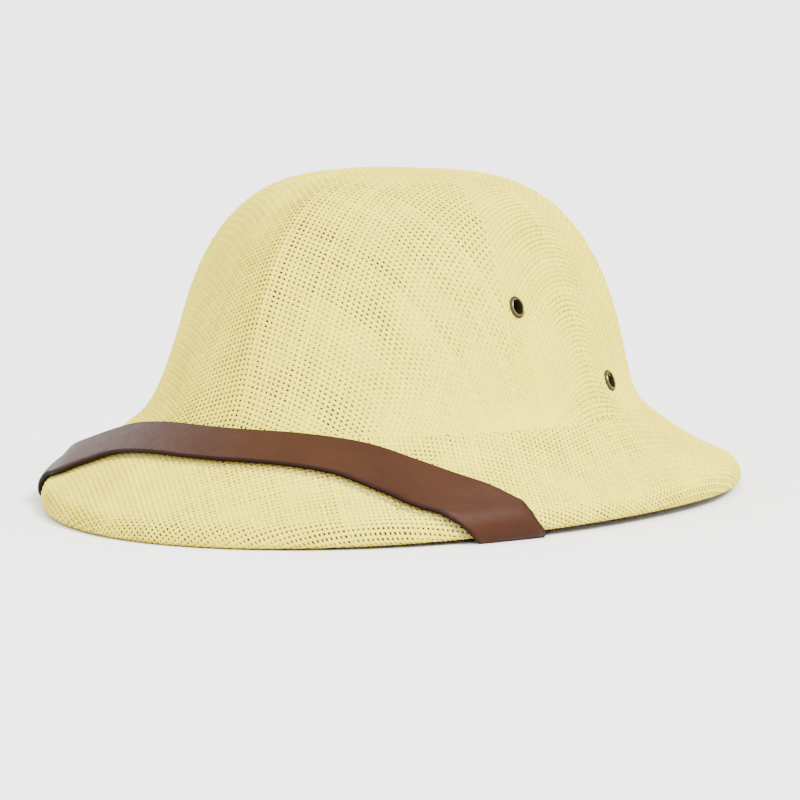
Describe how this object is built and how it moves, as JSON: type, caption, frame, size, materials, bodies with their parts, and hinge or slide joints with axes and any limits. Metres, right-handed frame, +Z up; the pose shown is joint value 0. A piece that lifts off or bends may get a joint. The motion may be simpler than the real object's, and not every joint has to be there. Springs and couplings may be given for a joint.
{
  "type": "straw jungle hat",
  "caption": "Stiff woven straw sun helmet with a high seamed crown, sloping brim with a rolled lip, brass vent eyelets, a leather sweatband and a leather chin strap over the front brim.",
  "frame": {"origin": "middle of the hat's box in plan, on the level surface that the hat rests on", "axes": "+Z up, front of the hat toward -Y, the wearer's left toward +X"},
  "size_m": [0.2666, 0.3246, 0.1321],
  "materials": {
    "straw_cloth": "stiff woven straw cloth, lightly glazed",
    "straw_facing": "unglazed tan cloth",
    "strap_leather": "smooth worn leather with dark edges",
    "band_leather": "soft dark leather",
    "aged_brass": "aged, satin"
  },
  "bodies": {
    "root": {"crown_left": "straw_cloth", "crown_right": "straw_cloth", "brim": "straw_cloth", "under_brim": "straw_facing", "sweatband": "band_leather", "chin_strap": "strap_leather", "eyelet_upper_left": "aged_brass", "eyelet_upper_right": "aged_brass", "eyelet_lower_left": "aged_brass", "eyelet_lower_right": "aged_brass"}
  },
  "joints": []
}
